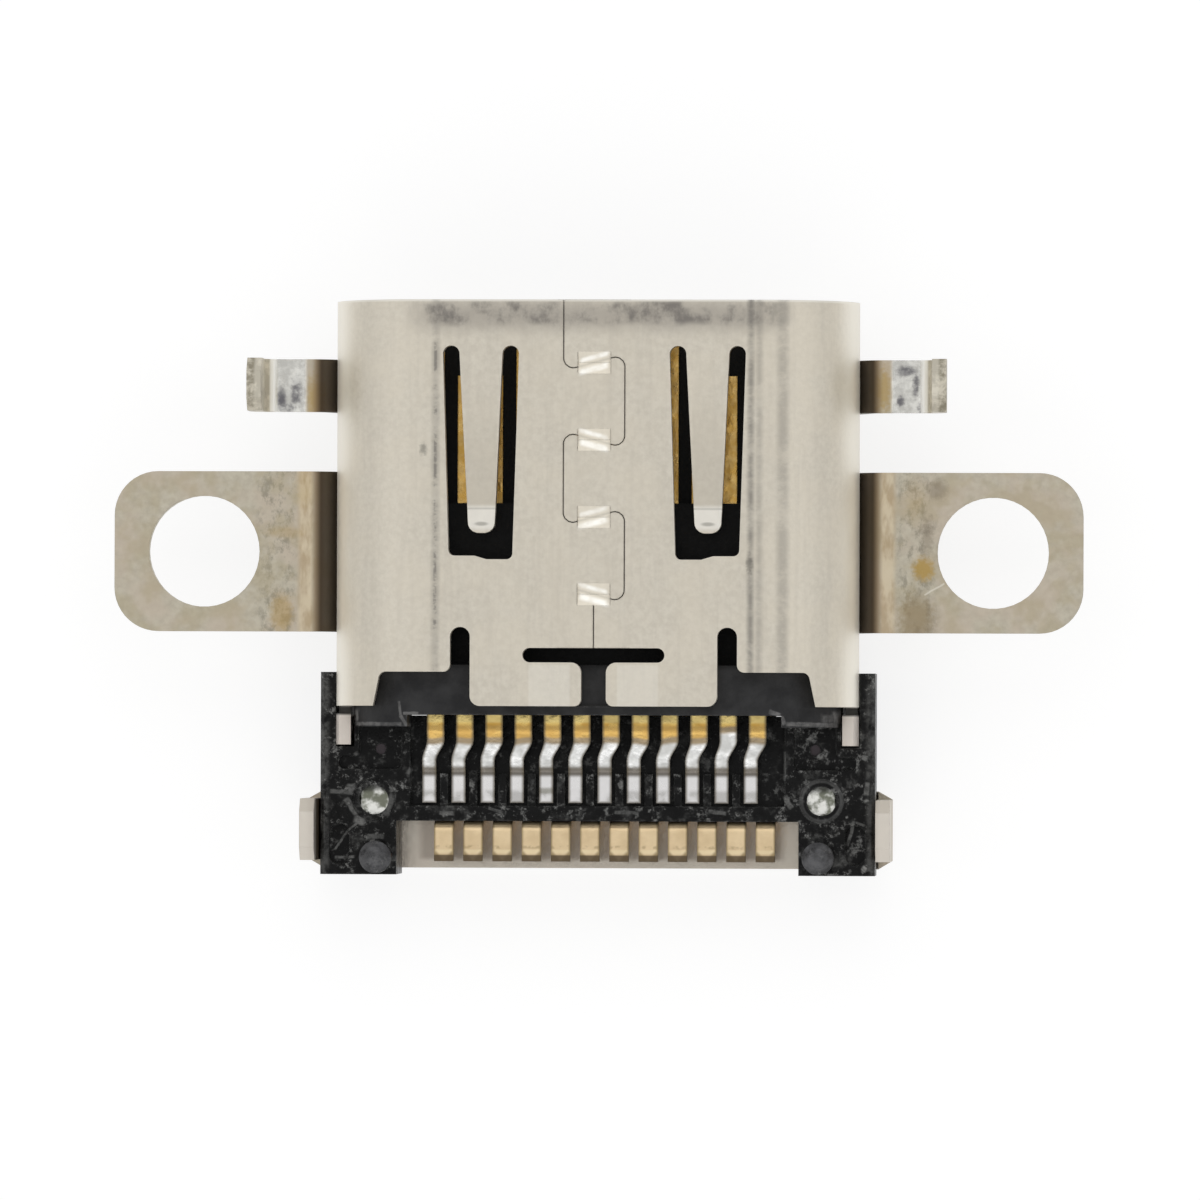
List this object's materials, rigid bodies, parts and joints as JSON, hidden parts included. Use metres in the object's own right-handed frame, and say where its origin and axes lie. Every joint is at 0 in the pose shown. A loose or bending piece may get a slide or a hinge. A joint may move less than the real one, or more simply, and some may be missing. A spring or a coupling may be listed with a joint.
{
  "type": "usb-c socket",
  "caption": "Board-mounted socket: rolled steel shell with spring fingers, tongue with contacts, moulded rear housing, and a cover bracket with two screw ears and four board legs.",
  "frame": {"origin": "midway between the two screw holes, on the plane of the ear faces that seat on the circuit board", "axes": "+Z along the screw holes, from the cover towards the board; +Y out of the socket's mouth; +X across the shell, along the line of the screw holes"},
  "size_m": [0.0166, 0.0098, 0.0034],
  "materials": {
    "shell_steel": "matte nickel-plated stainless sheet with fine tool marks",
    "cover_steel": "duller plated steel sheet, legs tinned, flux stains",
    "tongue_plastic": "dark grey-black moulded plastic",
    "mid_plate_steel": "bright steel sheet",
    "housing_plastic": "glossy black moulded plastic, dusty, with light scuffed edges",
    "contact_near": "gold-plated on the tongue, bright tin on the feet",
    "contact_far": "gold-plated on the tongue, pale matte gold on the feet"
  },
  "bodies": {
    "root": {"shell": "shell_steel", "cover_bracket": "cover_steel", "tongue_moulding": "tongue_plastic", "mid_plate": "mid_plate_steel", "rear_housing": "housing_plastic", "contact_b01": "contact_near", "contact_b02": "contact_near", "contact_b03": "contact_near", "contact_b04": "contact_near", "contact_b05": "contact_near", "contact_b06": "contact_near", "contact_b07": "contact_near", "contact_b08": "contact_near", "contact_b09": "contact_near", "contact_b10": "contact_near", "contact_b11": "contact_near", "contact_b12": "contact_near", "contact_a01": "contact_far", "contact_a02": "contact_far", "contact_a03": "contact_far", "contact_a04": "contact_far", "contact_a05": "contact_far", "contact_a06": "contact_far", "contact_a07": "contact_far", "contact_a08": "contact_far", "contact_a09": "contact_far", "contact_a10": "contact_far", "contact_a11": "contact_far", "contact_a12": "contact_far"}
  },
  "joints": []
}
